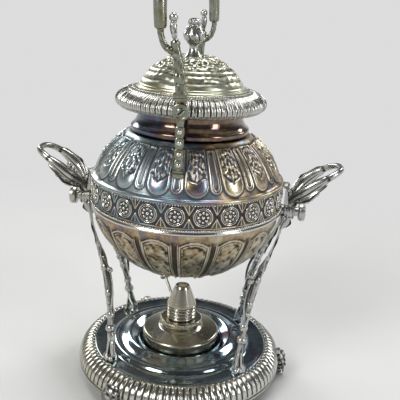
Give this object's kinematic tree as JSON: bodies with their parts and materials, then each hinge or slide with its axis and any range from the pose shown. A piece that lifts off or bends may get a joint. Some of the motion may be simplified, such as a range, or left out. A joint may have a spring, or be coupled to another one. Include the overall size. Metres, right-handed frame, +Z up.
{
  "type": "spirit kettle on stand",
  "caption": "Round silver-plated spirit kettle with hinged lid, bail handle and spout, tilting on two side pins in a legged stand with a dished base and a lift-out wick burner.",
  "frame": {"origin": "on the table, under the middle of the stand", "axes": "+Z up, +Y the way the spout points, X along the two tilting pins"},
  "size_m": [0.2924, 0.2581, 0.4144],
  "materials": {
    "silver_plate": "tarnished silver plate",
    "silver_blue": "silver plate tarnished blue and violet",
    "silver_warm": "silver plate tarnished pale gold",
    "bowl_brown": "silver plate tarnished brown by the flame",
    "burner_nickel": "dull nickel plate",
    "wick_cotton": "braided cotton",
    "ring_ivory": "polished bone-coloured insulator"
  },
  "bodies": {
    "stand": {"base_plate": "silver_plate", "gadroon_rim": "silver_plate", "burner_well": "silver_plate", "rim_foot_right": "silver_plate", "rim_foot_back": "silver_plate", "rim_foot_front": "silver_plate", "leg_front_left": "silver_plate", "leg_front_right": "silver_plate", "leg_back_left": "silver_plate", "leg_back_right": "silver_plate", "leg_studs": "silver_plate", "bracket_left": "silver_plate", "bracket_right": "silver_plate", "side_handle_left": "silver_plate", "side_handle_right": "silver_plate"},
    "left_pin": {"trunnion_pin_left": "silver_plate"},
    "right_pin": {"trunnion_pin_right": "silver_plate"},
    "kettle": {"lower_bowl": "bowl_brown", "frieze_band": "silver_blue", "bead_moulding": "silver_plate", "upper_shell": "silver_blue", "neck_collar": "silver_blue", "bottom_cap": "bowl_brown", "spout": "silver_plate", "spout_strainer": "silver_plate", "trunnion_lug_left": "silver_plate", "trunnion_lug_right": "silver_plate", "bail_strap_front": "silver_plate", "bail_strap_back": "silver_plate", "strap_studs": "silver_plate", "bail_screws": "silver_plate", "neck_hinge_leaf": "silver_plate", "lid_hinge_pin": "silver_plate"},
    "bail": {"bail_arm_front": "silver_plate", "bail_arm_back": "silver_plate", "bail_bud_front": "silver_plate", "bail_bud_back": "silver_plate", "bail_tube_front": "silver_plate", "bail_tube_back": "silver_plate", "bail_rings": "ring_ivory", "bail_grip": "silver_plate"},
    "lid": {"lid_dome": "silver_warm", "lid_brim": "silver_warm", "lid_bezel": "silver_plate", "lid_finial": "silver_plate", "finial_nut": "silver_plate", "lid_hinge_leaf": "silver_plate"},
    "burner": {"burner_reservoir": "burner_nickel", "burner_collar": "burner_nickel", "wick_tube": "burner_nickel"},
    "wick": {"wick": "wick_cotton"},
    "winder": {"winder_shaft": "burner_nickel", "winder_knob": "burner_nickel", "winder_pinion": "burner_nickel"}
  },
  "joints": [
    {"name": "kettle_tilt", "type": "hinge", "parent": "stand", "child": "kettle", "pos_m": [0, 0, 0.178], "axis": [-1, 0, 0], "range_deg": [0, 45]},
    {"name": "left_pin_pull", "type": "slide", "parent": "stand", "child": "left_pin", "axis": [-1, 0, 0], "range_m": [0, 0.008]},
    {"name": "right_pin_pull", "type": "slide", "parent": "stand", "child": "right_pin", "axis": [1, 0, 0], "range_m": [0, 0.008]},
    {"name": "bail_swing", "type": "hinge", "parent": "kettle", "child": "bail", "pos_m": [0, 0, 0.28], "axis": [0, 1, 0], "range_deg": [-80, 85]},
    {"name": "lid_open", "type": "hinge", "parent": "kettle", "child": "lid", "pos_m": [0, 0.056, 0.2663], "axis": [-1, 0, 0], "range_deg": [0, 38]},
    {"name": "burner_lift", "type": "slide", "parent": "stand", "child": "burner", "axis": [0, 0, 1], "range_m": [0, 0.006]},
    {"name": "winder_turn", "type": "hinge", "parent": "burner", "child": "winder", "pos_m": [-0.00457, 0.00556, 0.058], "axis": [-0.4288, 0.5221, 0.7373], "range_deg": [0, 75]},
    {"name": "wick_rise", "type": "slide", "parent": "burner", "child": "wick", "axis": [0, 0, 1], "range_m": [0, 0.0039]}
  ],
  "couplings": [
    {"joint": "winder_turn", "follows": "wick_rise", "rad_per_m": 333.33}
  ]
}
